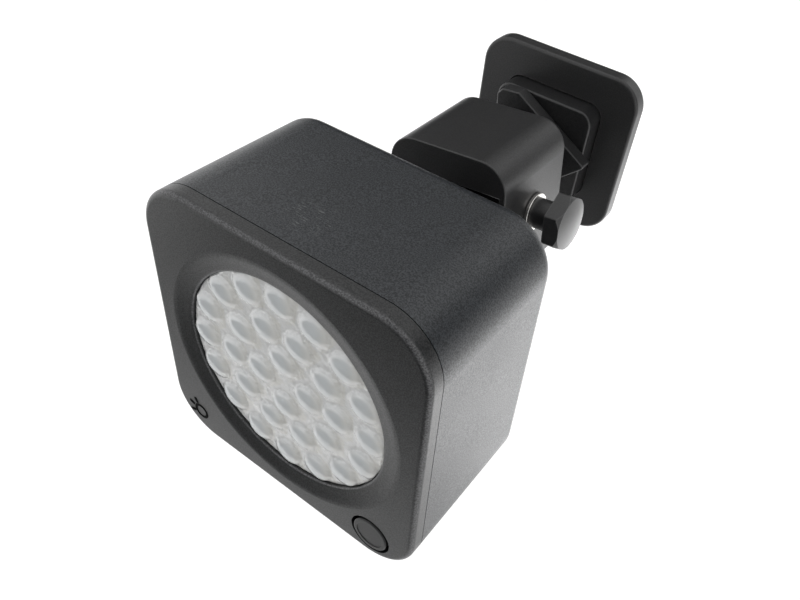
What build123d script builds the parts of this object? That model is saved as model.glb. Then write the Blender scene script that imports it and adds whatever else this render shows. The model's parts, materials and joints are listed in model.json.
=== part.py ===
from build123d import *
from math import cos, radians, sin
import os

# A wall-mounted LED flood light: a square light head with a round array of thirty
# lenses, a push-button in its corner, and a short arm that swivels on a square wall
# plate and tilts the head about a hand-turned clamp screw.
#
# Frame: millimetres, +Z up. The origin is the centre of the wall plate's back, so the
# wall is the plane y = 0, +Y points into the wall and the light shines towards -Y.
# The arm's swivel axis is the Y axis.

# ---- driving dimensions: light head ----
HEAD_SIZE = 100.0  # square front, across X and Z
HEAD_DEPTH = 58.0
CORNER_R = 17.2
BACK_EDGE_R = 4.6
CASE_DRAFT = 0.9  # degrees
CASE_WALL = 2.5
BACK_WALL = 3.0
BEZEL_DEPTH = 5.0
PARTING_GAP = 0.25
BEZEL_EDGE_R = 1.7
SPIGOT_DEPTH = 6.0
SPIGOT_WALL = 2.3
STEM_RISE = 17.2  # stem axis above the head's centre
STEM_BOSS_R = 11.0
STEM_BOSS_DEPTH = 5.0

# ---- driving dimensions: optics ----
DISH_MOUTH_R = 43.6
DISH_FLOOR_R = 36.9
DISH_DEPTH = 1.1
LIP_END = 3.0
LENS_RIM_R = 36.7
LENS_FLANGE_R = 42.2
LENS_FRONT = 2.6
LENS_BACK = 6.2
LENS_GASKET_T = 0.6
LENSLET_R = 4.9
LENSLET_RISE = 1.3
LENSLET_RINGS = [(4, 9.2), (10, 19.8), (16, 31.6)]  # lenslets in a ring, ring radius
BOARD_FRONT = 8.0
BOARD_T = 1.6
BOARD_R = 41.5
BOARD_FIXING_R = 38.3
BOARD_SCREW_ANGLE = 11.25  # degrees, half way between two outer lenslets
PEG_ANGLE = 56.25

# ---- driving dimensions: inside the head ----
SINK_DISC_R = 42.0
SINK_PLATE_FRONT = 14.6
SINK_PLATE_T = 3.0
SINK_PLATE_SIZE = 88.0
FIN_T = 1.6
FIN_PITCH = 6.4
FIN_END = 32.0
FIN_HALF_HEIGHT = 30.0
BEZEL_BOSS = 35.0  # bezel screw offset across X and Z
COLUMN_X = 28.0
COLUMN_Z = 36.0
COLUMN_R = 4.4
DRIVER_FRONT = 36.0
DRIVER_SIZE = (47.0, 36.0)
DRIVER_Z = -24.0
LEAD_R = 0.6

# ---- driving dimensions: push-button ----
BUTTON_X = 35.0
BUTTON_Z = -40.0
BUTTON_R = 6.2
BUTTON_HOLE_R = 7.2
BUTTON_PROUD = 0.3
BUTTON_TRAVEL = 0.8
BUTTON_EDGE_R = 0.4
BUTTON_DISH_R = 4.9
BUTTON_DISH_DEPTH = 0.2

# ---- driving dimensions: arm ----
ARM_ROLL = 7.0  # degrees, the arm's turn about its own axis at rest
HEAD_ROLL = 6.0  # degrees, the head's turn back about its stem at rest
HOOD_WIDTH = 44.2
HOOD_HEIGHT = 46.0
HOOD_R = 9.6
HOOD_WALL = 2.2
HOOD_REAR_WALL = 3.0
HOOD_FRONT_Y = -71.5
HOOD_REAR_Y = -33.7
FLANGE_FRONT_Y = -20.0
FLANGE_T = 5.4
FLANGE_TIP_X = 23.6
FLANGE_HALF_HEIGHT = 21.3
FLANGE_FLAT_X = (-11.5, -4.8)
FLANGE_BACK_X = -13.5
HOOD_RIM_R = 0.45
HOOD_WEB_T = 2.4
HOOD_WEB_LOW_Z = 12.0
NECK_SIZE = 24.0
PIVOT_Y = -52.5
PIVOT_Z = -1.1
HEAD_BACK_Y = -92.3

# ---- driving dimensions: tilt joint and clamp screw ----
BOLT_R = 3.0
RUNNING = 0.06  # radial clearance of a turning fit
SNUG = 0.05  # radial clearance of a fixed fit
LUG_R = 10.0
LUG_WIDTH = 36.6
LUG_NECK_R = 8.5
LUG_WASHER_T = 1.4
STEM_R = 5.5
STEM_BORE_R = 3.0
COLLAR_R = 11.5
COLLAR_T = 3.0
STEM_SEAL_T = 0.9
KNOB_WASHER_R = 6.55
KNOB_WASHER_T = 1.35
KNOB_NECK_R = 5.15
KNOB_NECK_END = 30.4
KNOB_HEX_R = 9.9
KNOB_HEX_END = 35.6
KNOB_DOME = 1.2
KNOB_CROWN_R = 7.9
KNOB_CORNER_R = 0.9
KNOB_PHASE = 27.4  # degrees

# ---- driving dimensions: wall mounting ----
BASE_BOSS_SIZE = 38.2
BASE_BOSS_R = 5.2
BASE_BOSS_FRONT_Y = -13.3
BASE_FLANGE_SIZE = 57.0
BASE_FLANGE_FRONT_Y = -3.9
GASKET_T = 1.2
COVER_SIZE = 62.8
COVER_R = 10.8
COVER_FRONT_Y = -5.5
COVER_RIM_Y = -0.2
COVER_WALL = 2.0
COVER_GAP = 0.4
WALL_HOLE_PITCH = 46.6
WALL_HOLE_R = 2.25
CABLE_HOLE_R = 4.0
SPINDLE_R = 7.0
SPINDLE_BORE_R = 3.5
SPINDLE_COLLAR_R = 11.0

HEAD_HALF = HEAD_SIZE / 2
BORE_END = 2.0  # cutters run this far past the faces that they open


# ---- helpers ----
def across(y, x=0.0, z=0.0):
    """A sketch plane square to the Y axis, with its normal towards the viewer (-Y)."""
    return Plane((x, y, z), x_dir=(1, 0, 0), z_dir=(0, -1, 0))


def square(size, radius, y_front, y_back, x=0.0, z=0.0, taper=0.0):
    """A rounded square prism between two y values. Its back is narrower by the taper."""
    if taper:
        plane = Plane((x, y_front, z), x_dir=(1, 0, 0), z_dir=(0, 1, 0))
        return extrude(plane * RectangleRounded(size, size, radius), y_back - y_front, taper=taper)
    return extrude(across(y_back, x, z) * RectangleRounded(size, size, radius), y_back - y_front)


def block(width, height, y_front, y_back, x=0.0, z=0.0):
    """A plain rectangular prism between two y values."""
    return extrude(across(y_back, x, z) * Rectangle(width, height), y_back - y_front)


def rod(radius, y_front, y_back, x=0.0, z=0.0):
    """A cylinder along Y between two y values."""
    return extrude(across(y_back, x, z) * Circle(radius), y_back - y_front)


def ring(outer, inner, y_front, y_back, x=0.0, z=0.0):
    """A flat washer shape along Y."""
    return rod(outer, y_front, y_back, x, z) - rod(inner, y_front - BORE_END, y_back + BORE_END, x, z)


def axle(radius, x_low, x_high, y=0.0, z=0.0):
    """A cylinder along X between two x values."""
    plane = Plane((x_low, y, z), x_dir=(0, 1, 0), z_dir=(1, 0, 0))
    return extrude(plane * Circle(radius), x_high - x_low)


def hexagon_bar(radius, x_low, x_high, y=0.0, z=0.0, phase=0.0):
    """A six-sided bar along X. The radius is to its corners, the phase in degrees."""
    plane = Plane((x_low, y, z), x_dir=(0, 1, 0), z_dir=(1, 0, 0))
    return extrude(plane * Rot(0, 0, phase) * RegularPolygon(radius, 6), x_high - x_low)


def hexagon_rod(radius, y_front, y_back, x=0.0, z=0.0):
    """A six-sided bar along Y. The radius is to its corners."""
    return extrude(across(y_back, x, z) * RegularPolygon(radius, 6), y_back - y_front)


def ring_points(count, radius, phase=0.0):
    """Points (x, z) spaced evenly on a circle about the Y axis."""
    step = 360.0 / count
    angles = [radians(phase + step * i) for i in range(count)]
    return [(radius * cos(a), radius * sin(a)) for a in angles]


def corner_points(half_x, half_z):
    return [(sx * half_x, sz * half_z) for sx in (-1, 1) for sz in (-1, 1)]


def screw(head_r, head_t, shank_r, y_head, length, x, z, socket_r=1.3):
    """A socket-head screw that points towards -Y. Its head lies behind y_head."""
    body = rod(head_r, y_head, y_head + head_t, x, z) + rod(shank_r, y_head - length, y_head, x, z)
    return body - hexagon_rod(socket_r, y_head + head_t * 0.4, y_head + head_t + 1, x, z)


def screw_forward(head_r, head_t, shank_r, y_head, length, x, z, socket_r=1.1):
    """A socket-head screw that points towards +Y. Its head lies in front of y_head."""
    body = rod(head_r, y_head - head_t, y_head, x, z) + rod(shank_r, y_head, y_head + length, x, z)
    return body - hexagon_rod(socket_r, y_head - head_t - 1, y_head - head_t * 0.4, x, z)


def lead(points, radii):
    """A round wire along straight runs that are joined by tangent arcs."""
    route = FilletPolyline(*points, radius=radii)
    start = Plane(origin=route @ 0, z_dir=route % 0)
    return sweep(start * Circle(LEAD_R), path=route)


# ---- light head, modelled about the centre of its front face ----
LENSLETS = [p for count, radius in LENSLET_RINGS for p in ring_points(count, radius)]
BOARD_SCREWS = ring_points(4, BOARD_FIXING_R, BOARD_SCREW_ANGLE)
BEZEL_SCREWS = [(-BEZEL_BOSS, BEZEL_BOSS), (BEZEL_BOSS, BEZEL_BOSS), (-BEZEL_BOSS, -BEZEL_BOSS)]
COLUMNS = corner_points(COLUMN_X, COLUMN_Z)
SINK_BACK = SINK_PLATE_FRONT + SINK_PLATE_T
CASE_FRONT = BEZEL_DEPTH + PARTING_GAP
CAVITY_BACK = HEAD_DEPTH - BACK_WALL
SPIGOT_SIZE = HEAD_SIZE - 2 * CASE_WALL - 0.4
SPIGOT_R = CORNER_R - CASE_WALL - 0.2
DRIVER_BACK = DRIVER_FRONT + 1.6
DRIVER_POSTS = [(x, DRIVER_Z + z) for x, z in corner_points(20.0, 14.5)]


def dish_cutter():
    """The round dish with its soft lip, and the bore and rebate that hold the lens."""
    outline = [
        Line((0, -1), (DISH_MOUTH_R, -1)),
        Line((DISH_MOUTH_R, -1), (DISH_MOUTH_R, 0)),
        Spline(
            (DISH_MOUTH_R, 0),
            (DISH_MOUTH_R - 3.0, DISH_DEPTH * 0.5),
            (DISH_FLOOR_R + 1.2, DISH_DEPTH),
            (DISH_FLOOR_R, DISH_DEPTH + 0.8),
            tangents=[(-1, 0.02), (0, 1)],
        ),
        Line((DISH_FLOOR_R, DISH_DEPTH + 0.8), (DISH_FLOOR_R, LIP_END)),
        Line((DISH_FLOOR_R, LIP_END), (LENS_FLANGE_R + 0.4, LIP_END)),
        Line((LENS_FLANGE_R + 0.4, LIP_END), (LENS_FLANGE_R + 0.4, BEZEL_DEPTH + SPIGOT_DEPTH)),
        Line((LENS_FLANGE_R + 0.4, BEZEL_DEPTH + SPIGOT_DEPTH), (0, BEZEL_DEPTH + SPIGOT_DEPTH)),
        Line((0, BEZEL_DEPTH + SPIGOT_DEPTH), (0, -1)),
    ]
    return revolve(make_face(outline), Axis.Y, 360)


def front_bezel():
    plate = square(HEAD_SIZE, CORNER_R, 0, BEZEL_DEPTH)
    plate = fillet(plate.faces().sort_by(Axis.Y)[0].edges(), BEZEL_EDGE_R)
    spigot_end = BEZEL_DEPTH + SPIGOT_DEPTH
    spigot = square(SPIGOT_SIZE, SPIGOT_R, BEZEL_DEPTH, spigot_end)
    inner_size = SPIGOT_SIZE - 2 * SPIGOT_WALL
    spigot -= square(inner_size, SPIGOT_R - SPIGOT_WALL, BEZEL_DEPTH, spigot_end + 1)
    body = plate + spigot
    for x, z in BEZEL_SCREWS:
        body += rod(3.4, BEZEL_DEPTH - 1, SINK_PLATE_FRONT, x, z)
    body -= dish_cutter()
    for x, z in BEZEL_SCREWS:
        body -= rod(1.25 + SNUG, 8.4, SINK_PLATE_FRONT + 1, x, z)
    body -= rod(BUTTON_HOLE_R, -1, BEZEL_DEPTH + 1, BUTTON_X, BUTTON_Z)
    body -= rod(8.7, BEZEL_DEPTH, spigot_end + 1, BUTTON_X, BUTTON_Z)
    return body


def rear_housing():
    shell = square(HEAD_SIZE, CORNER_R, CASE_FRONT, HEAD_DEPTH, taper=CASE_DRAFT)
    shell = fillet(shell.faces().sort_by(Axis.Y)[-1].edges(), BACK_EDGE_R)
    inner = HEAD_SIZE - 2 * CASE_WALL
    cavity = square(inner, CORNER_R - CASE_WALL, CASE_FRONT, CAVITY_BACK, taper=CASE_DRAFT)
    cavity = fillet(cavity.faces().sort_by(Axis.Y)[-1].edges(), BACK_EDGE_R - CASE_WALL)
    body = shell - cavity
    body -= square(97.0, CORNER_R - 1.5, CASE_FRONT - 1, CASE_FRONT + 1.4)
    body += rod(STEM_BOSS_R, CAVITY_BACK - STEM_BOSS_DEPTH, CAVITY_BACK + 1, 0, STEM_RISE)
    for x, z in COLUMNS:
        body += rod(COLUMN_R, SINK_BACK, CAVITY_BACK + 1, x, z)
    for x, z in DRIVER_POSTS:
        body += rod(2.6, DRIVER_BACK, CAVITY_BACK + 1, x, z)
        body -= rod(1.25 + SNUG, DRIVER_BACK - 1, DRIVER_BACK + 8, x, z)
    for x, z in COLUMNS:
        body -= rod(1.6, SINK_BACK - 1, HEAD_DEPTH + 1, x, z)
        body -= rod(3.1, HEAD_DEPTH - 4, HEAD_DEPTH + 1, x, z)
    body -= rod(STEM_R + RUNNING, CAVITY_BACK - STEM_BOSS_DEPTH - 1, HEAD_DEPTH + 1, 0, STEM_RISE)
    return body


def housing_seal():
    outer = square(96.8, CORNER_R - 1.6, BEZEL_DEPTH, BEZEL_DEPTH + 1.6)
    return outer - square(SPIGOT_SIZE + 0.2, SPIGOT_R + 0.1, BEZEL_DEPTH - 1, BEZEL_DEPTH + 3)


def lens_array():
    """A clear disc with a low dished dome over each light source."""
    gasket_back = LIP_END + LENS_GASKET_T
    body = rod(LENS_RIM_R, LENS_FRONT, gasket_back) + rod(LENS_FLANGE_R, gasket_back, LENS_BACK)
    body = fillet(body.faces().sort_by(Axis.Y)[0].edges(), 0.5)
    top = LENS_FRONT - LENSLET_RISE
    dome = rod(LENSLET_R, top, LENS_FRONT + 0.5)
    dome = fillet(dome.faces().sort_by(Axis.Y)[0].edges(), 1.2)
    dome -= Pos(0, top - 13.2, 0) * Sphere(13.6)
    for x, z in LENSLETS:
        body += Pos(x, 0, z) * dome
    for x, z in ring_points(4, BOARD_FIXING_R, PEG_ANGLE):
        body += rod(1.5, LENS_BACK - 0.5, BOARD_FRONT, x, z)
    return body


def lens_gasket():
    return ring(LENS_FLANGE_R, DISH_FLOOR_R + 0.2, LIP_END, LIP_END + LENS_GASKET_T)


def led_board():
    body = rod(BOARD_R, BOARD_FRONT, BOARD_FRONT + BOARD_T)
    for x, z in BOARD_SCREWS:
        body -= rod(1.5, BOARD_FRONT - 1, BOARD_FRONT + BOARD_T + 1, x, z)
    return body


def led_packages():
    return [block(3.5, 3.5, BOARD_FRONT - 0.8, BOARD_FRONT, x, z) for x, z in LENSLETS]


def led_phosphors():
    return [rod(1.25, BOARD_FRONT - 1.05, BOARD_FRONT - 0.8, x, z) for x, z in LENSLETS]


def board_screws():
    return [screw_forward(2.4, 1.3, 1.25, BOARD_FRONT, 4.2, x, z) for x, z in BOARD_SCREWS]


def heat_sink():
    """A cast disc behind the board, a square plate with screw holes, and upright fins."""
    disc_front = BOARD_FRONT + BOARD_T
    body = rod(SINK_DISC_R, disc_front, SINK_PLATE_FRONT + 0.5)
    body += square(SINK_PLATE_SIZE, 13.0, SINK_PLATE_FRONT, SINK_BACK)
    for side in (-1, 1):
        for i in range(6):
            x = side * (FIN_PITCH / 2 + 1.6 + FIN_PITCH * i)
            body += block(FIN_T, 2 * FIN_HALF_HEIGHT, SINK_BACK - 0.5, FIN_END, x)
    for x, z in BOARD_SCREWS:
        body -= rod(1.25 + SNUG, disc_front - 1, disc_front + 3.4, x, z)
    for x, z in BEZEL_SCREWS:
        body -= rod(1.6, SINK_PLATE_FRONT - 1, SINK_BACK + 1, x, z)
    for x, z in COLUMNS:
        body -= rod(1.45 + SNUG, SINK_PLATE_FRONT - 1, SINK_BACK + 1, x, z)
    body -= rod(3.2, disc_front - 1, SINK_BACK + 1)
    body -= rod(2.6, SINK_PLATE_FRONT - 1, SINK_BACK + 1, 37.0, -35.7)
    return body


def bezel_screws():
    return [screw(2.6, 1.8, 1.25, SINK_BACK, 8.8, x, z) for x, z in BEZEL_SCREWS]


def housing_screws():
    return [screw(2.9, 2.2, 1.45, HEAD_DEPTH - 4, 38.8, x, z) for x, z in COLUMNS]


def driver_board():
    body = block(*DRIVER_SIZE, DRIVER_FRONT, DRIVER_BACK, 0, DRIVER_Z)
    for x, z in DRIVER_POSTS:
        body -= rod(1.5, DRIVER_FRONT - 1, DRIVER_BACK + 1, x, z)
    return body


def driver_screws():
    return [screw_forward(2.2, 1.3, 1.25, DRIVER_FRONT, 6.0, x, z) for x, z in DRIVER_POSTS]


def driver_capacitors():
    cans = []
    for x, z, radius, height in [(-13.0, -20.0, 5.0, 13.0), (-13.0, -32.0, 5.0, 13.0), (-4.0, -37.0, 3.2, 9.0)]:
        can = rod(radius, DRIVER_BACK, DRIVER_BACK + height, x, z)
        cans.append(fillet(can.faces().sort_by(Axis.Y)[-1].edges(), 0.6))
    return cans


def driver_inductor():
    core = block(15.0, 16.0, DRIVER_BACK + 2.0, DRIVER_BACK + 13.0, 6.5, -24.0)
    core = fillet(core.edges().filter_by(Axis.Y), 1.0)
    winding = extrude(across(DRIVER_BACK + 14.0, 6.5, -24.0) * RectangleRounded(18.0, 11.0, 3.0), 14.0)
    return core + winding


def driver_chips():
    chips = [(-5.4, -26.0, 4.6, 4.0, 1.5), (13.0, -36.5, 7.0, 5.0, 2.2), (3.0, -36.5, 4.0, 4.0, 1.2)]
    return [block(w, h, DRIVER_BACK, DRIVER_BACK + t, x, z) for x, z, w, h, t in chips]


def terminal_block():
    """A three-way screw terminal for the supply lead."""
    body = block(15.0, 7.6, DRIVER_BACK, DRIVER_BACK + 10.0, 4.0, -10.6)
    for i in (-1, 0, 1):
        x = 4.0 + 5.0 * i
        body -= rod(1.5, DRIVER_BACK + 6.5, DRIVER_BACK + 11, x, -10.6)
        body -= Pos(x, DRIVER_BACK + 3.4, -8.0) * Box(3.2, 3.6, 4.0)
    return body


def led_leads():
    """Two wires from the driver, between the middle fins, to the back of the LED board."""
    wires = []
    for x in (-1.2, 1.2):
        points = [
            (x, DRIVER_FRONT, -12.0),
            (x, 27.0, -12.0),
            (x, 19.0, 0.0),
            (x, BOARD_FRONT + BOARD_T, 0.0),
        ]
        wires.append(lead(points, 5.0))
    return wires


def button_leads():
    """Two wires from the button's board, round a screw column, to the driver."""
    wires = []
    for rise in (-0.8, 0.8):
        points = [
            (37.0, 14.2, -35.7 + rise),
            (37.0, 33.4, -35.7 + rise),
            (22.0, 33.4, -19.5 + rise),
            (22.0, DRIVER_FRONT, -19.5 + rise),
        ]
        wires.append(lead(points, 1.3))
    return wires


def inside_case(shape):
    """Trims a piece at the button to the inside of the case corner."""
    return shape & square(93.6, 13.8, 0, HEAD_DEPTH)


def button_seal():
    return inside_case(ring(8.4, BUTTON_R + 0.3, BEZEL_DEPTH, BEZEL_DEPTH + 0.5, BUTTON_X, BUTTON_Z))


def button_cap():
    cap = rod(BUTTON_R, -BUTTON_PROUD, 6.0, BUTTON_X, BUTTON_Z)
    cap = fillet(cap.faces().sort_by(Axis.Y)[0].edges(), BUTTON_EDGE_R)
    cap -= rod(BUTTON_DISH_R, -1, BUTTON_DISH_DEPTH - BUTTON_PROUD, BUTTON_X, BUTTON_Z)
    cap += inside_case(rod(8.2, 5.6, 6.6, BUTTON_X, BUTTON_Z))
    return cap + rod(2.0, 6.0, 8.4, BUTTON_X, BUTTON_Z)


def tact_switch():
    body = block(6.0, 6.0, 9.8, 13.0, BUTTON_X, BUTTON_Z)
    stem_top = 8.4 + BUTTON_TRAVEL + 0.1
    return body + rod(1.7, stem_top, 10.0, BUTTON_X, BUTTON_Z)


def button_board():
    return rod(7.0, 13.0, 14.2, BUTTON_X, BUTTON_Z)


# ---- tilting lug, modelled about the tilt pivot ----
STEM_BACK = PIVOT_Y - HEAD_BACK_Y  # from the pivot to the head's back


def tilt_lug():
    """A cross barrel on the clamp bolt, a round neck, a collar and a hollow threaded stem."""
    collar_front = -STEM_BACK + 0.1 + STEM_SEAL_T
    body = axle(LUG_R, -LUG_WIDTH / 2, LUG_WIDTH / 2)
    body = fillet(body.edges(), 0.6)
    body += rod(LUG_NECK_R, collar_front + COLLAR_T - 0.5, 0)
    collar = rod(COLLAR_R, collar_front, collar_front + COLLAR_T)
    body += fillet(collar.edges(), 0.5)
    body += rod(STEM_R, -STEM_BACK - 15.6, collar_front + 0.5)
    body -= axle(BOLT_R + RUNNING, -LUG_WIDTH, LUG_WIDTH)
    body -= rod(STEM_BORE_R, -STEM_BACK - 20.0, -18.0)
    outlet = Plane((0, -20.0, -20.0), x_dir=(1, 0, 0), z_dir=(0, 0, 1))
    return body - extrude(outlet * Circle(STEM_BORE_R), 20.0)


def friction_washers():
    inner = LUG_WIDTH / 2 + 0.1
    washers = []
    for low, high in ((inner, inner + LUG_WASHER_T), (-inner - LUG_WASHER_T, -inner)):
        washers.append(axle(8.5, low, high) - axle(BOLT_R + 0.1, low - 1, high + 1))
    return washers


def stem_seal():
    return ring(10.5, STEM_R + 0.3, -STEM_BACK + 0.1, -STEM_BACK + 0.1 + STEM_SEAL_T)


def stem_washer():
    back = -STEM_BACK - BACK_WALL - STEM_BOSS_DEPTH - 0.1
    return ring(10.5, STEM_R + 0.2, back - 1.0, back)


def stem_nut():
    back = -STEM_BACK - BACK_WALL - STEM_BOSS_DEPTH - 1.1
    return hexagon_rod(9.5, back - 5.0, back) - rod(STEM_R + SNUG, back - 6, back + 1)


# ---- arm, modelled square to its own width before it is turned about its axis ----
NUT_OUTER_X = -27.6
NUT_INNER_X = -22.5
ARM_SCREWS = corner_points(8.0, 8.0)


def arm_hood():
    """A cover with two cheeks, a top and a web across the top of its open front."""
    half = HOOD_HEIGHT / 2

    def arch(width, top, radius, y_front, y_back):
        drop = 20.0
        tall = top + half + drop
        middle = top - tall / 2
        solid = extrude(across(y_back, 0, middle) * RectangleRounded(width, tall, radius), y_back - y_front)
        return solid - block(100, 2 * drop, y_front - 1, y_back + 1, 0, -half - drop)

    inner_width = HOOD_WIDTH - 2 * HOOD_WALL
    body = arch(HOOD_WIDTH, half, HOOD_R, HOOD_FRONT_Y, HOOD_REAR_Y)
    body = fillet(body.faces().sort_by(Axis.Y)[-1].edges(), 1.0)
    rear_inner = HOOD_REAR_Y - HOOD_REAR_WALL
    inner_tall = 2 * (half - HOOD_WALL + 10.0)
    hollow_plan = RectangleRounded(inner_width, inner_tall, HOOD_R - HOOD_WALL)
    hollow_length = rear_inner - HOOD_FRONT_Y - HOOD_WEB_T
    body -= extrude(across(rear_inner, 0, -10.0) * hollow_plan, hollow_length)
    mouth_tall = HOOD_WEB_LOW_Z + half + 1
    mouth_middle = HOOD_WEB_LOW_Z - mouth_tall / 2
    body -= block(inner_width, mouth_tall, HOOD_FRONT_Y - 1, HOOD_FRONT_Y + HOOD_WEB_T + 1, 0, mouth_middle)
    body = fillet(body.faces().sort_by(Axis.Y)[0].edges(), HOOD_RIM_R)
    body += axle(8.5, NUT_OUTER_X, -HOOD_WIDTH / 2 + 0.5, PIVOT_Y, PIVOT_Z)
    body -= hexagon_bar(5.85, NUT_OUTER_X - 1, NUT_INNER_X, PIVOT_Y, PIVOT_Z)
    body -= axle(BOLT_R + RUNNING, NUT_OUTER_X - 1, HOOD_WIDTH, PIVOT_Y, PIVOT_Z)
    for x, z in ARM_SCREWS:
        body -= rod(1.75, rear_inner - 1, HOOD_REAR_Y + 1, x, z)
    return body - rod(SPINDLE_BORE_R, rear_inner - 1, HOOD_REAR_Y + 1)


def turn_flange():
    """A thick plate, pointed on one side with two cut corners, on a square neck."""
    tall = FLANGE_HALF_HEIGHT
    low, high = FLANGE_FLAT_X
    upper = [(FLANGE_TIP_X, 0), (high, tall), (low, tall), (FLANGE_BACK_X, tall - 2.2)]
    lower = [(x, -z) for x, z in reversed(upper[1:])]
    back = FLANGE_FRONT_Y + FLANGE_T
    plate = extrude(across(back) * make_face(Polyline(*upper, *lower, close=True)), FLANGE_T)
    plate = fillet(plate.edges().filter_by(Axis.Y), 1.0)
    plate = fillet(plate.faces().sort_by(Axis.Y)[0].edges(), 0.5)
    plate = fillet(plate.faces().sort_by(Axis.Y)[-1].edges(), 0.5)
    body = plate + square(NECK_SIZE, 5.0, HOOD_REAR_Y, FLANGE_FRONT_Y + 0.5)
    body -= rod(SPINDLE_R + SNUG, FLANGE_FRONT_Y, back + 1)
    body -= rod(SPINDLE_BORE_R, HOOD_REAR_Y - 1, back)
    for x, z in ARM_SCREWS:
        body -= rod(1.5 + SNUG, HOOD_REAR_Y - 1, HOOD_REAR_Y + 7, x, z)
    return body


def swivel_spindle():
    """A hollow steel spindle with a collar. Its thread passes through the wall base."""
    flange_back = FLANGE_FRONT_Y + FLANGE_T
    body = rod(SPINDLE_R, FLANGE_FRONT_Y + 0.1, -4.5)
    body += rod(SPINDLE_COLLAR_R, flange_back, BASE_BOSS_FRONT_Y - 0.6)
    return body - rod(SPINDLE_BORE_R, FLANGE_FRONT_Y - 1, 0)


def spindle_nut():
    return hexagon_rod(10.4, -9.1, -5.1) - rod(SPINDLE_R + SNUG, -10, -4)


def arm_screws():
    y_head = HOOD_REAR_Y - HOOD_REAR_WALL
    return [screw_forward(2.8, 1.8, 1.5, y_head, 9.0, x, z, 1.3) for x, z in ARM_SCREWS]


def clamp_nut():
    body = hexagon_bar(5.77, NUT_OUTER_X + 0.1, NUT_INNER_X - 0.1, PIVOT_Y, PIVOT_Z)
    return body - axle(BOLT_R + RUNNING, NUT_OUTER_X - 1, NUT_INNER_X + 1, PIVOT_Y, PIVOT_Z)


# ---- clamp screw ----
KNOB_FACE_X = HOOD_WIDTH / 2 + 0.05 + KNOB_WASHER_T


def clamp_knob():
    """A round neck and a six-sided grip with a low domed end."""
    neck = axle(KNOB_NECK_R, KNOB_FACE_X, KNOB_NECK_END + 0.5, PIVOT_Y, PIVOT_Z)
    tall = KNOB_HEX_END + KNOB_DOME
    grip = hexagon_bar(KNOB_HEX_R, KNOB_NECK_END, tall, PIVOT_Y, PIVOT_Z, KNOB_PHASE)
    grip = fillet(grip.edges().filter_by(Axis.X), KNOB_CORNER_R)
    dome_r = 42.0
    dome = Pos(tall - dome_r, PIVOT_Y, PIVOT_Z) * Sphere(dome_r)
    crown = axle(KNOB_HEX_R + 1, 0, KNOB_HEX_END - 1, PIVOT_Y, PIVOT_Z)
    grip &= dome + crown
    cone_plane = Plane((tall, PIVOT_Y, PIVOT_Z), x_dir=(0, 1, 0), z_dir=(-1, 0, 0))
    chamfered = extrude(cone_plane * Circle(KNOB_CROWN_R), tall - KNOB_NECK_END + 1, taper=-40)
    grip &= chamfered
    return (neck + grip) - axle(BOLT_R + SNUG, 0, 33.2, PIVOT_Y, PIVOT_Z)


def clamp_bolt():
    return axle(BOLT_R, NUT_OUTER_X - 0.6, 33.0, PIVOT_Y, PIVOT_Z)


def knob_washer():
    low, high = HOOD_WIDTH / 2 + 0.05, KNOB_FACE_X
    washer = axle(KNOB_WASHER_R, low, high, PIVOT_Y, PIVOT_Z)
    washer = fillet(washer.edges(), 0.3)
    return washer - axle(BOLT_R + 0.15, low - 1, high + 1, PIVOT_Y, PIVOT_Z)


# ---- wall mounting ----
WALL_HOLES = corner_points(WALL_HOLE_PITCH / 2, WALL_HOLE_PITCH / 2)


def wall_base():
    """A cast flange with a hollow square boss that carries the arm."""
    boss = square(BASE_BOSS_SIZE, BASE_BOSS_R, BASE_BOSS_FRONT_Y, -GASKET_T)
    boss = fillet(boss.faces().sort_by(Axis.Y)[0].edges(), 0.8)
    body = boss + square(BASE_FLANGE_SIZE, 8.0, BASE_FLANGE_FRONT_Y, -GASKET_T)
    body -= square(33.0, 4.0, BASE_BOSS_FRONT_Y + 2.8, 1)
    body -= rod(SPINDLE_R + RUNNING, BASE_BOSS_FRONT_Y - 1, 1)
    for x, z in WALL_HOLES:
        body -= rod(WALL_HOLE_R, BASE_FLANGE_FRONT_Y - 1, 1, x, z)
    return body


def cover_plate():
    """A shallow square cover with an opening for the boss and four snap pips."""
    body = square(COVER_SIZE, COVER_R, COVER_FRONT_Y, COVER_RIM_Y)
    body = fillet(body.faces().sort_by(Axis.Y)[0].edges(), 1.1)
    inner = COVER_SIZE - 2 * COVER_WALL
    body -= square(inner, COVER_R - COVER_WALL, BASE_FLANGE_FRONT_Y, 1)
    opening = BASE_BOSS_SIZE + 2 * COVER_GAP
    body -= square(opening, BASE_BOSS_R + COVER_GAP, COVER_FRONT_Y - 1, 1)
    reach = inner / 2 + 0.5
    for side in (-1, 1):
        body += block(1.7, 8.0, -1.1, -0.3, side * (reach - 0.85), 0)
        body += block(8.0, 1.7, -1.1, -0.3, 0, side * (reach - 0.85))
    return body


def wall_gasket():
    body = square(55.0, 7.0, -GASKET_T, 0)
    for x, z in WALL_HOLES:
        body -= rod(2.6, -GASKET_T - 1, 1, x, z)
    return body - rod(CABLE_HOLE_R, -GASKET_T - 1, 1)


def swivel_washer():
    return ring(10.6, SPINDLE_R + 0.3, BASE_BOSS_FRONT_Y - 0.5, BASE_BOSS_FRONT_Y)


def wave_washer():
    return ring(11.0, SPINDLE_R + 0.3, BASE_BOSS_FRONT_Y + 2.8, BASE_BOSS_FRONT_Y + 3.8)


# ---- places of the groups ----
# At rest the arm is turned about the Y axis, and the head is turned back about its stem,
# so that the head and the plate stand nearly level with each other.
ARM_PLACE = Rot(0, -ARM_ROLL, 0)
LUG_PLACE = ARM_PLACE * Pos(0, PIVOT_Y, PIVOT_Z)
HEAD_PLACE = LUG_PLACE * Rot(0, HEAD_ROLL, 0) * Pos(0, -STEM_BACK - HEAD_DEPTH, -STEM_RISE)
WALL_PLACE = Pos(0, 0, 0)

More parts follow.
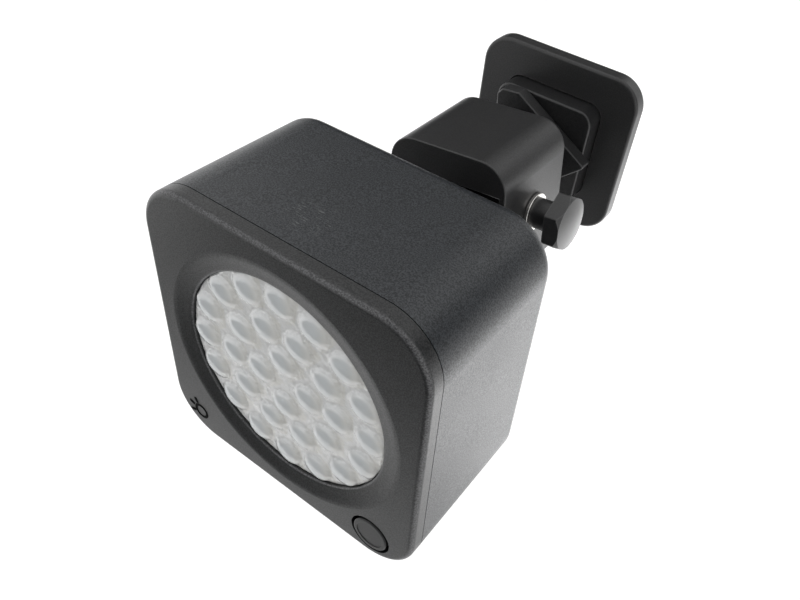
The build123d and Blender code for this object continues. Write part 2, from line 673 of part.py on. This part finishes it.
GROUPS = [
    (
        HEAD_PLACE,
        [
            front_bezel,
            rear_housing,
            housing_seal,
            housing_screws,
            bezel_screws,
            lens_array,
            lens_gasket,
            led_board,
            led_packages,
            led_phosphors,
            board_screws,
            heat_sink,
            driver_board,
            driver_screws,
            driver_capacitors,
            driver_inductor,
            driver_chips,
            terminal_block,
            led_leads,
            button_leads,
            button_seal,
            button_cap,
            tact_switch,
            button_board,
        ],
    ),
    (LUG_PLACE, [tilt_lug, friction_washers, stem_seal, stem_washer, stem_nut]),
    (ARM_PLACE, [arm_hood, turn_flange, swivel_spindle, spindle_nut, arm_screws, clamp_nut]),
    (ARM_PLACE, [clamp_knob, clamp_bolt, knob_washer]),
    (WALL_PLACE, [wall_base, cover_plate, wall_gasket, swivel_washer, wave_washer]),
]


def show_axis(name, place, direction):
    """Prints a joint's point and its axis, which the record states in metres."""
    point = (place * Vertex(0, 0, 0)).center()
    tip = (place * Vertex(*direction)).center()
    print(name, [round(v, 4) for v in point], [round(v, 6) for v in tip - point])


def main():
    os.makedirs("parts", exist_ok=True)
    for place, makers in GROUPS:
        for maker in makers:
            made = maker()
            if isinstance(made, list):
                shape = Compound(children=[place * solid for solid in made])
            else:
                shape = place * made
            export_step(shape, os.path.join("parts", maker.__name__ + ".step"))
    show_axis("tilt and clamp", LUG_PLACE, (1, 0, 0))
    show_axis("head swivel and button", LUG_PLACE * Pos(0, -STEM_BACK, 0), (0, 1, 0))


main()
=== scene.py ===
# %% [markdown]
# # A wall flood light, finished in Blender
# The design is already made: every part of the light arrives as a fixed frame, at its real
# size and place. What is left is how it looks. We load the frame first, because each new
# piece takes its place from it, and we keep the frame's box, which sets the floor's height.

# %% Load the frame
import json
from math import cos, pi, radians, sin

import bpy
from mathutils import Matrix, Vector, kdtree


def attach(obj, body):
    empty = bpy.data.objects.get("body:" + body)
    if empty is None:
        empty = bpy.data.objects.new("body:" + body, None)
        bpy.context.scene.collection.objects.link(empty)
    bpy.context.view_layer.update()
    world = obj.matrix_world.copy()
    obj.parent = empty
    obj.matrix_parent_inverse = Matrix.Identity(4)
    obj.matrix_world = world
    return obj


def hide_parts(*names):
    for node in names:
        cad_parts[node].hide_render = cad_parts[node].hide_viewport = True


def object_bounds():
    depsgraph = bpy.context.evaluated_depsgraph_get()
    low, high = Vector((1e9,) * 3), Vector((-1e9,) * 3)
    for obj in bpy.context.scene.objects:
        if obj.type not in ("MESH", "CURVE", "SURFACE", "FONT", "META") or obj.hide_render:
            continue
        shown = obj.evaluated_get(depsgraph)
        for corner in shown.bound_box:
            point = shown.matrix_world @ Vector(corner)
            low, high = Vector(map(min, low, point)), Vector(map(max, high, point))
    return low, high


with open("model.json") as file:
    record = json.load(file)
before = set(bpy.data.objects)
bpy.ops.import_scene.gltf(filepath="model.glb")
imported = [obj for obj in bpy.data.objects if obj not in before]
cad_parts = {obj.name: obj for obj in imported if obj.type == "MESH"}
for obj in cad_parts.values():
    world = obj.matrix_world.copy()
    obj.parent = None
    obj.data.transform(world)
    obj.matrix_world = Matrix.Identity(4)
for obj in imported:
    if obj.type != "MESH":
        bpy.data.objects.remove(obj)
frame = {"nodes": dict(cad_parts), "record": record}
cad_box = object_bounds()
nodes = frame["nodes"]
MM = 0.001
print("frame box", cad_box)

# %% [markdown]
# The head, the lug and the arm each have their own square directions, because the light is
# stored with its arm turned a little. We write those directions once, as matrices, so that a
# piece can be modelled about a simple origin and then set down in its place.

# %% Places of the head and the arm
ARM_ROLL = radians(7.0)
HEAD_ROLL = radians(6.0)
TILT_PIVOT = Vector((0, -52.5, -1.1)) * MM
HEAD_REACH = 97.8 * MM
STEM_RISE = 17.2 * MM

arm_place = Matrix.Rotation(-ARM_ROLL, 4, "Y")
lug_place = arm_place @ Matrix.Translation(TILT_PIVOT)
head_place = (
    lug_place
    @ Matrix.Rotation(HEAD_ROLL, 4, "Y")
    @ Matrix.Translation((0, -HEAD_REACH, -STEM_RISE))
)
print("head centre", head_place.translation)

# %% [markdown]
# A camera is an eye in a place, turned by three angles, with a lens. This one looks down on
# the light from its front right. A 35 mm lens close to the light gives the strong
# perspective of a small product seen on a table.

# %% Camera
CAMERA_PLACE = (0.10673, -0.25115, 0.15395)
CAMERA_TURN = (46.80, -4.06, 37.79)
CAMERA_LENS = 35.31

camera_data = bpy.data.cameras.new("camera")
camera_data.lens = CAMERA_LENS
camera_data.sensor_width = 36.0
camera_data.clip_start = 0.01
camera = bpy.data.objects.new("camera", camera_data)
camera.location = CAMERA_PLACE
camera.rotation_euler = [radians(a) for a in CAMERA_TURN]
bpy.context.collection.objects.link(camera)
bpy.context.scene.camera = camera

# %% [markdown]
# Dark plastic shows its shape only by what it reflects. A white world lights everything
# evenly. A bright panel lies just above the floor, behind the light's right side and facing
# up. The side of the case mirrors it, so that side turns pale toward its foot. Four dark
# cards keep the front, the top and the hood deep. The camera does not see them, but they
# still block light, so from behind the floor under the lowest card looks grey. The floor
# lies well below the light, so that the light itself throws no hard shadow on it.

# %% Floor, world and lights
FLOOR_DROP = 0.30
FLOOR_SIZE = 14
STAGE_GAP = 0.02
floor_level = cad_box[0][2] - FLOOR_DROP

bpy.ops.mesh.primitive_plane_add(size=FLOOR_SIZE, location=(0, 0, floor_level))
floor = bpy.context.object
floor.name = "floor"


def dark_card(name, size, place, turn):
    """A square card that the camera does not see. It is mirrored, and it blocks light."""
    angles = [radians(a) for a in turn]
    bpy.ops.mesh.primitive_plane_add(size=size, location=place, rotation=angles)
    made = bpy.context.object
    made.name = name
    made.visible_camera = False
    return made


cards = [
    dark_card("low_card", 0.9, (-0.03, -0.81, floor_level + STAGE_GAP), (0, 0, 0)),
    dark_card("back_card", 1.0, (-0.45, 0.85, 0.42), (78, 0, 24)),
    dark_card("front_card", 0.9, (0.35, -1.0, 0.35), (80, 0, -16)),
    dark_card("side_card", 0.9, (1.0, 0.60, 0.50), (80, 0, 122)),
]

world = bpy.data.worlds.new("studio")
world.use_nodes = True
world.node_tree.nodes["Background"].inputs["Color"].default_value = (1, 1, 1, 1)
world.node_tree.nodes["Background"].inputs["Strength"].default_value = 1.10
bpy.context.scene.world = world
bpy.context.scene.view_settings.view_transform = "Standard"


def area_light(name, place, aim, size, power):
    """A square soft light that looks at a point."""
    data = bpy.data.lights.new(name, "AREA")
    data.shape = "SQUARE"
    data.size = size
    data.energy = power
    light = bpy.data.objects.new(name, data)
    light.location = place
    light.rotation_euler = (Vector(aim) - Vector(place)).to_track_quat("-Z", "Y").to_euler()
    bpy.context.collection.objects.link(light)


area_light("panel", (0.25, 0.13, floor_level + STAGE_GAP), (0.22, 0.03, 0), size=0.56, power=1.35)

# %% [markdown]
# Shader sums are easier to read as sums. This small class wraps the output of a node, so
# that `noise * 0.5 + 0.2` adds the two Math nodes that it stands for. Everything else comes
# from one method, `node`, which takes a node's type, its settings and its inputs.

# %% A small language for materials
class Value:
    """The output of a node, with Python's operators."""

    def __init__(self, finish, socket):
        self.finish = finish
        self.socket = socket

    def math(self, operation, first, second):
        return self.finish.node("ShaderNodeMath", {"operation": operation}, {0: first, 1: second})

    def __add__(self, other):
        return self.math("ADD", self, other)

    def __mul__(self, other):
        return self.math("MULTIPLY", self, other)


class Finish:
    """A material that is built from expressions."""

    def __init__(self, name):
        self.material = bpy.data.materials.new(name)
        self.material.use_nodes = True
        self.tree = self.material.node_tree
        self.shader = self.tree.nodes["Principled BSDF"]
        self.place = self.node("ShaderNodeTexCoord", {}, {}, "Object")

    def node(self, kind, settings, inputs, output=0):
        made = self.tree.nodes.new(kind)
        for key, value in settings.items():
            setattr(made, key, value)
        for key, value in inputs.items():
            self.plug(made.inputs[key], value)
        return Value(self, made.outputs[output])

    def plug(self, socket, value):
        if isinstance(value, Value):
            self.tree.links.new(value.socket, socket)
        else:
            socket.default_value = value

    def set(self, **inputs):
        for key, value in inputs.items():
            self.plug(self.shader.inputs[key.replace("_", " ")], value)
        return self

    def noise(self, cell_mm, detail=2.0, roughness=0.5, where=None):
        """Soft noise from 0 to 1 whose blobs are about cell_mm across."""
        settings = {"Scale": 1 / (cell_mm * MM), "Detail": detail, "Roughness": roughness}
        settings["Vector"] = where or self.place
        return self.node("ShaderNodeTexNoise", {}, settings, "Fac")

    def ramp(self, value, low, high):
        """0 at low and 1 at high, with a soft step between."""
        settings = {"interpolation_type": "SMOOTHSTEP"}
        inputs = {"Value": value, "From Min": low, "From Max": high}
        return self.node("ShaderNodeMapRange", settings, inputs)

    def measure(self, operation, first, second):
        """A number from two vectors."""
        settings = {"operation": operation}
        return self.node("ShaderNodeVectorMath", settings, {0: first, 1: second}, "Value")

    def mix(self, amount, first, second):
        """A colour between two colours."""
        made = self.tree.nodes.new("ShaderNodeMix")
        made.data_type = "RGBA"
        self.plug(made.inputs[0], amount)
        self.plug(made.inputs[6], first)
        self.plug(made.inputs[7], second)
        return Value(self, made.outputs[2])

    def bump(self, height, strength, distance_mm, before=None):
        inputs = {"Height": height, "Strength": strength, "Distance": distance_mm * MM}
        if before is not None:
            inputs["Normal"] = before
        return self.node("ShaderNodeBump", {}, inputs, "Normal")

    def rounding(self):
        """Near 1 where a surface turns from the front to a side."""
        normal = self.node("ShaderNodeTexCoord", {}, {}, "Normal")
        facing = self.measure("DOT_PRODUCT", normal, (0, -1, 0))
        return self.ramp(facing, 0.2, 0.55) * self.ramp(facing, 0.97, 0.82)

    def edge_highlight_mask(self, width_mm):
        """Near 1 on sharp outer edges, where the colour is lightened as a painted highlight."""
        soft = self.node("ShaderNodeBevel", {"samples": 4}, {"Radius": width_mm * MM}, "Normal")
        true = self.node("ShaderNodeNewGeometry", {}, {}, "Normal")
        return self.ramp(self.measure("DOT_PRODUCT", soft, true), 0.995, 0.90)


def colour(red, green, blue):
    return (red, green, blue, 1.0)

# %% [markdown]
# The case is moulded plastic with a fine spark texture: a random grain under half a
# millimetre across that breaks up every reflection. The grain works in three ways at once.
# It changes the colour, it raises small bumps, and it switches a thin clear coat on and off
# so that single grains sparkle. Handling leaves a few streaks on the top of the case. A
# painted highlight lightens the rounding at the front of the bezel and the sharp edges of the
# arm, the knob, the cover and the button.

# %% Moulded plastics
STREAK_TURN = (0, 0, radians(38))
STREAK_STRETCH = (0.35, 1.6, 1)
STREAK_REACH = (0.010, 0.003)
# the pale colour of the painted highlight on sharp edges
EDGE_HIGHLIGHT_TONE = (0.12, 0.12, 0.12, 1.0)


def streaks(f, centre):
    """Thin worn lines within a centimetre of a point."""
    inside = f.ramp(f.measure("DISTANCE", f.place, centre), *STREAK_REACH)
    stretch = {"Vector": f.place, "Rotation": STREAK_TURN, "Scale": STREAK_STRETCH}
    drawn = f.node("ShaderNodeMapping", {}, stretch)
    return inside * f.ramp(f.noise(0.9, detail=2.0, roughness=0.6, where=drawn), 0.57, 0.68)


def spark_plastic(name, shade, roughness, grain_mm, grain, gloss, scuff=None, edge_highlight=0.0, front=0.0):
    """Textured plastic. The last two arguments say how strongly a painted highlight lightens the
    sharp edges and the front rounding.
    """
    f = Finish(name)
    fine = f.noise(grain_mm, detail=2.0, roughness=0.7)
    speck = f.ramp(fine, 0.38, 0.63)
    patches = f.noise(22.0, detail=3.0)
    dark = colour(*[c * (1 - 0.6 * grain) for c in shade])
    pale = colour(*[c * (1 + 0.9 * grain) for c in shade])
    tint = f.mix(speck * 0.8 + patches * 0.2, dark, pale)
    coat = speck * (1.6 * grain * gloss) + gloss * (1 - 0.8 * grain)
    if scuff is not None:
        tint = f.mix(streaks(f, scuff), tint, colour(0.085, 0.09, 0.09))
    if front:
        # painted highlight: the rounding at the front of the bezel is lightened
        tint = f.mix(f.rounding() * (speck * 0.7 + 0.3) * front, tint, colour(0.12, 0.12, 0.125))
    # painted highlight: sharp edges are lightened toward a pale grey
    if edge_highlight:
        tint = f.mix(f.edge_highlight_mask(0.6) * edge_highlight, tint, EDGE_HIGHLIGHT_TONE)
    f.set(
        Base_Color=tint,
        Roughness=patches * 0.08 + speck * 0.06 + (roughness - 0.07),
        Coat_Weight=coat,
        Normal=f.bump(fine, 0.5 * grain + 0.1, 0.06),
    )
    f.shader.inputs["Specular IOR Level"].default_value = gloss
    f.shader.inputs["Coat Roughness"].default_value = roughness * 0.9
    return f.material


SCUFF_MM = (-1.9, 16.6, 50.0)
scuff_place = head_place @ (Vector(SCUFF_MM) * MM)

# name, colour, roughness, grain in mm, strength of the grain, gloss
case_plastic = spark_plastic(
    "case_plastic", (0.0085, 0.0107, 0.0136), 0.44, 0.42, 0.95, 0.40, scuff=scuff_place
)
# front sets a painted highlight on the bezel's front rounding
bezel_plastic = spark_plastic(
    "bezel_plastic", (0.0095, 0.010, 0.0105), 0.40, 0.42, 0.7, 0.34, front=0.7
)
satin_plastic = spark_plastic(
    "satin_plastic", (0.0085, 0.0085, 0.009), 0.42, 0.5, 0.3, 0.28, edge_highlight=0.4
)
cover_plastic = spark_plastic(
    "cover_plastic", (0.0135, 0.0135, 0.014), 0.42, 0.5, 0.3, 0.37, edge_highlight=0.4
)
knob_plastic = spark_plastic(
    "knob_plastic", (0.011, 0.011, 0.0115), 0.38, 0.6, 0.15, 0.42, edge_highlight=0.5
)
arm_paint = spark_plastic(
    "arm_paint", (0.0125, 0.0125, 0.013), 0.40, 0.45, 0.35, 0.34, edge_highlight=0.6
)
rubber = spark_plastic("rubber", (0.006, 0.006, 0.006), 0.6, 0.5, 0.2, 0.2)

# %% Metals, lens and boards
def metal(name, shade, roughness, grain_mm=0.4):
    f = Finish(name)
    grain = f.noise(grain_mm, detail=3.0)
    smear = f.noise(4.0, detail=2.0)
    dark = colour(*[c * 0.86 for c in shade])
    f.set(
        Base_Color=f.mix(smear, dark, colour(*shade)),
        Metallic=1.0,
        Roughness=grain * 0.14 + (roughness - 0.07),
        Normal=f.bump(grain, 0.08, 0.02),
    )
    return f.material


nickel = metal("nickel", (0.78, 0.76, 0.73), 0.16)
zinc = metal("zinc", (0.58, 0.58, 0.60), 0.32)
aluminium = metal("aluminium", (0.72, 0.73, 0.75), 0.38)


def simple(name, shade, roughness, **more):
    f = Finish(name)
    patches = f.noise(3.0, detail=2.0)
    dark = colour(*[c * 0.9 for c in shade])
    tint = f.mix(patches, dark, colour(*shade))
    f.set(Base_Color=tint, Roughness=patches * 0.1 + roughness, **more)
    return f.material


ceramic = simple("ceramic", (0.85, 0.85, 0.82), 0.25)
phosphor = simple("phosphor", (0.92, 0.74, 0.22), 0.3)
board_white = simple("board_white", (0.84, 0.85, 0.86), 0.3)
board_green = simple("board_green", (0.02, 0.16, 0.06), 0.25)
nylon = simple("nylon", (0.76, 0.74, 0.68), 0.4)
epoxy = simple("epoxy", (0.03, 0.03, 0.03), 0.35)
can_sleeve = simple("can_sleeve", (0.05, 0.05, 0.09), 0.25)
terminal = simple("terminal", (0.03, 0.3, 0.12), 0.35)
lead_red = simple("lead_red", (0.5, 0.03, 0.03), 0.35)


def lens_plastic():
    """Clear plastic over each light source, frosted and white between the lenslets, which get
    painted refraction.
    """
    f = Finish("lens_plastic")
    reach = f.node("ShaderNodeAttribute", {"attribute_name": "reach"}, {}, "Fac")
    warm_refraction = f.node("ShaderNodeAttribute", {"attribute_name": "warm_refraction"}, {}, "Fac")
    # painted refraction: the centre of each lenslet is tinted bluish grey, like the board seen
    # through it
    centre = f.ramp(reach, 5.6, 2.4)
    between = f.ramp(reach, 4.4, 5.4)
    ripple = f.noise(1.5, detail=1.5)
    tint = f.mix(centre, colour(0.93, 0.935, 0.93), colour(0.78, 0.815, 0.83))
    # painted shade: a dark outline around each lenslet, where refraction darkens it
    refraction_outline = f.ramp(reach, 4.3, 5.0) * f.ramp(reach, 5.8, 5.2)
    tint = f.mix(refraction_outline * (ripple * 0.5), tint, colour(0.60, 0.63, 0.64))
    # painted refraction: a yellowish tint on the right side of each lenslet
    tint = f.mix(warm_refraction * (ripple * 0.4 + 0.1), tint, colour(0.86, 0.82, 0.70))
    height = ripple * (between * 0.85 + 0.15)
    f.set(Base_Color=tint, Roughness=ripple * 0.06 + 0.06, Normal=f.bump(height, 0.8, 0.55))
    f.shader.inputs["Transmission Weight"].default_value = 0.35
    f.shader.inputs["IOR"].default_value = 1.5
    f.shader.inputs["Coat Weight"].default_value = 0.6
    f.shader.inputs["Coat Roughness"].default_value = 0.06
    return f.material


lens_clear = lens_plastic()
glyph_ink = simple("glyph_ink", (0.002, 0.002, 0.002), 0.7, Specular_IOR_Level=0.08)

slot_finish = {
    "housing_plastic": case_plastic,
    "bezel_plastic": bezel_plastic,
    "button_plastic": satin_plastic,
    "lens_clear": lens_clear,
    "led_ceramic": ceramic,
    "led_phosphor": phosphor,
    "board_white": board_white,
    "board_green": board_green,
    "sink_aluminium": aluminium,
    "arm_paint": arm_paint,
    "base_paint": arm_paint,
    "cover_plastic": cover_plastic,
    "knob_plastic": knob_plastic,
    "nickel": nickel,
    "steel": zinc,
    "seal_rubber": rubber,
    "washer_nylon": nylon,
    "component_black": epoxy,
    "component_can": can_sleeve,
    "terminal_green": terminal,
    "lead_red": lead_red,
}
for part in frame["record"]["subparts"]:
    shown = nodes[part["node"]]
    shown.data.materials.clear()
    shown.data.materials.append(slot_finish[part["material_slot"]])

floor_finish = Finish("floor_finish")
floor_finish.set(Base_Color=colour(0.96, 0.96, 0.96), Roughness=0.8, Emission_Strength=0.22)
floor_finish.shader.inputs["Emission Color"].default_value = colour(1.0, 1.0, 1.0)
floor.data.materials.append(floor_finish.material)

card_finish = Finish("card_finish")
card_finish.set(Base_Color=colour(0.02, 0.02, 0.02), Roughness=0.9)
for made in cards:
    made.data.materials.append(card_finish.material)

# %% [markdown]
# Now the new pieces. Each one is modelled in millimetres about a simple origin, with the
# light's own directions, and then set down in its place. `settle` does the last step: it
# scales the piece to metres, moves its mesh, smooths it and gives it its material.

# %% Modelling helpers
def alone():
    """Leaves nothing selected."""
    bpy.ops.object.select_all(action="DESELECT")


def active():
    return bpy.context.view_layer.objects.active


def apply(piece, kind, **settings):
    """Adds a modifier and applies it at once."""
    alone()
    piece.select_set(True)
    bpy.context.view_layer.objects.active = piece
    modifier = piece.modifiers.new(kind.lower(), kind)
    for key, value in settings.items():
        setattr(modifier, key, value)
    bpy.ops.object.modifier_apply(modifier=modifier.name)


def join(pieces, name):
    alone()
    for piece in pieces:
        piece.select_set(True)
    bpy.context.view_layer.objects.active = pieces[0]
    bpy.ops.object.join()
    joined = active()
    joined.name = name
    return joined


def settle(piece, place, finish, body, node=None):
    """Sets a piece down from millimetres about its own origin to its place."""
    alone()
    piece.select_set(True)
    bpy.context.view_layer.objects.active = piece
    bpy.ops.object.transform_apply(location=True, rotation=True, scale=True)
    piece.matrix_world = place @ Matrix.Scale(MM, 4)
    bpy.ops.object.transform_apply(location=True, rotation=True, scale=True)
    bpy.ops.object.shade_smooth_by_angle(angle=radians(35))
    piece.data.materials.clear()
    piece.data.materials.append(finish)
    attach(piece, body)
    if node:
        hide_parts(node)


def round_bar(radius, front, back, x=0.0, z=0.0, sides=96):
    """A cylinder along Y."""
    alone()
    bpy.ops.mesh.primitive_cylinder_add(
        vertices=sides, radius=radius, depth=back - front,
        location=(x, (front + back) / 2, z), rotation=(pi / 2, 0, 0),
    )
    return active()


# %% [markdown]
# The lens is one clear moulding. It is a disc with a wider flange behind it and thirty low
# ovals of plastic on its front. We join them, melt them into one skin with a voxel remesh,
# and relax the skin so that the lenslets rise softly. Each point then remembers how far it
# is from its lenslet's centre, and the lens material reads that number.

# %% Lens
LENSLET_RINGS = [(4, 9.2), (10, 19.8), (16, 31.6)]
LENSLET_SIZE = (5.25, 1.45, 5.25)
LENS_FRONT = 2.3
LENS_STEP = 3.8
LENS_R = 36.8
LENS_FLANGE_R = 42.0
SKIN_VOXEL = 0.42
lenslets = []
for count, ring_radius in LENSLET_RINGS:
    for i in range(count):
        angle = 2 * pi * i / count
        lenslets.append((ring_radius * cos(angle), ring_radius * sin(angle)))

lens_parts = [
    round_bar(LENS_R, LENS_FRONT, 5.0, sides=160),
    round_bar(LENS_FLANGE_R, LENS_STEP, 6.1, sides=160),
]
for x, z in lenslets:
    alone()
    bpy.ops.mesh.primitive_uv_sphere_add(
        segments=28, ring_count=14, radius=1, location=(x, LENS_FRONT, z)
    )
    active().scale = LENSLET_SIZE
    lens_parts.append(active())
lens = join(lens_parts, "lens")
bpy.ops.object.transform_apply(location=True, rotation=True, scale=True)
apply(lens, "REMESH", mode="VOXEL", voxel_size=SKIN_VOXEL)
apply(lens, "SMOOTH", factor=0.5, iterations=3)
settle(lens, head_place, lens_clear, "head", node="lens_array")

near = kdtree.KDTree(len(lenslets))
for i, (x, z) in enumerate(lenslets):
    near.insert((x, 0, z), i)
near.balance()
to_head = head_place.inverted()
reach = []
warm_refraction = []
for vertex in lens.data.vertices:
    x, y, z = (to_head @ vertex.co) / MM
    found, _, far = near.find((x, 0, z))
    reach.append(far)
    # painted refraction: points right of a lenslet's centre are marked for a yellowish tint
    lean = max(0.0, min(1.0, (x - found.x) / 3.2 - 0.3))
    warm_refraction.append(lean if y < 3.0 else 0.0)
for name, values in (("reach", reach), ("warm_refraction", warm_refraction)):
    layer = lens.data.attributes.new(name, "FLOAT", "POINT")
    layer.data.foreach_set("value", values)

# %% [markdown]
# A small lamp glyph stands in the lower left corner of the face: a ring for the lamp and
# three short bars for its light.

# %% Glyph
GLYPH_X = -38.6
GLYPH_Z = -40.6
BAR_REACH = 4.6
glyph_parts = []
alone()
bpy.ops.mesh.primitive_torus_add(
    location=(GLYPH_X, 0.0, GLYPH_Z), rotation=(pi / 2, 0, 0), major_radius=2.6, minor_radius=0.62,
    major_segments=40, minor_segments=10,
)
active().scale = (1, 1, 0.3)
glyph_parts.append(active())
for turn in (205, 250, 295):
    angle = radians(turn - 90)
    alone()
    bpy.ops.mesh.primitive_cube_add(
        size=1, rotation=(0, -angle, 0),
        location=(GLYPH_X + BAR_REACH * cos(angle), 0.0, GLYPH_Z + BAR_REACH * sin(angle)),
    )
    active().scale = (2.4, 0.3, 1.1)
    glyph_parts.append(active())
glyph = join(glyph_parts, "glyph")
bpy.ops.object.transform_apply(location=True, rotation=True, scale=True)
apply(glyph, "BEVEL", width=0.08, segments=2)
settle(glyph, head_place, glyph_ink, "head")
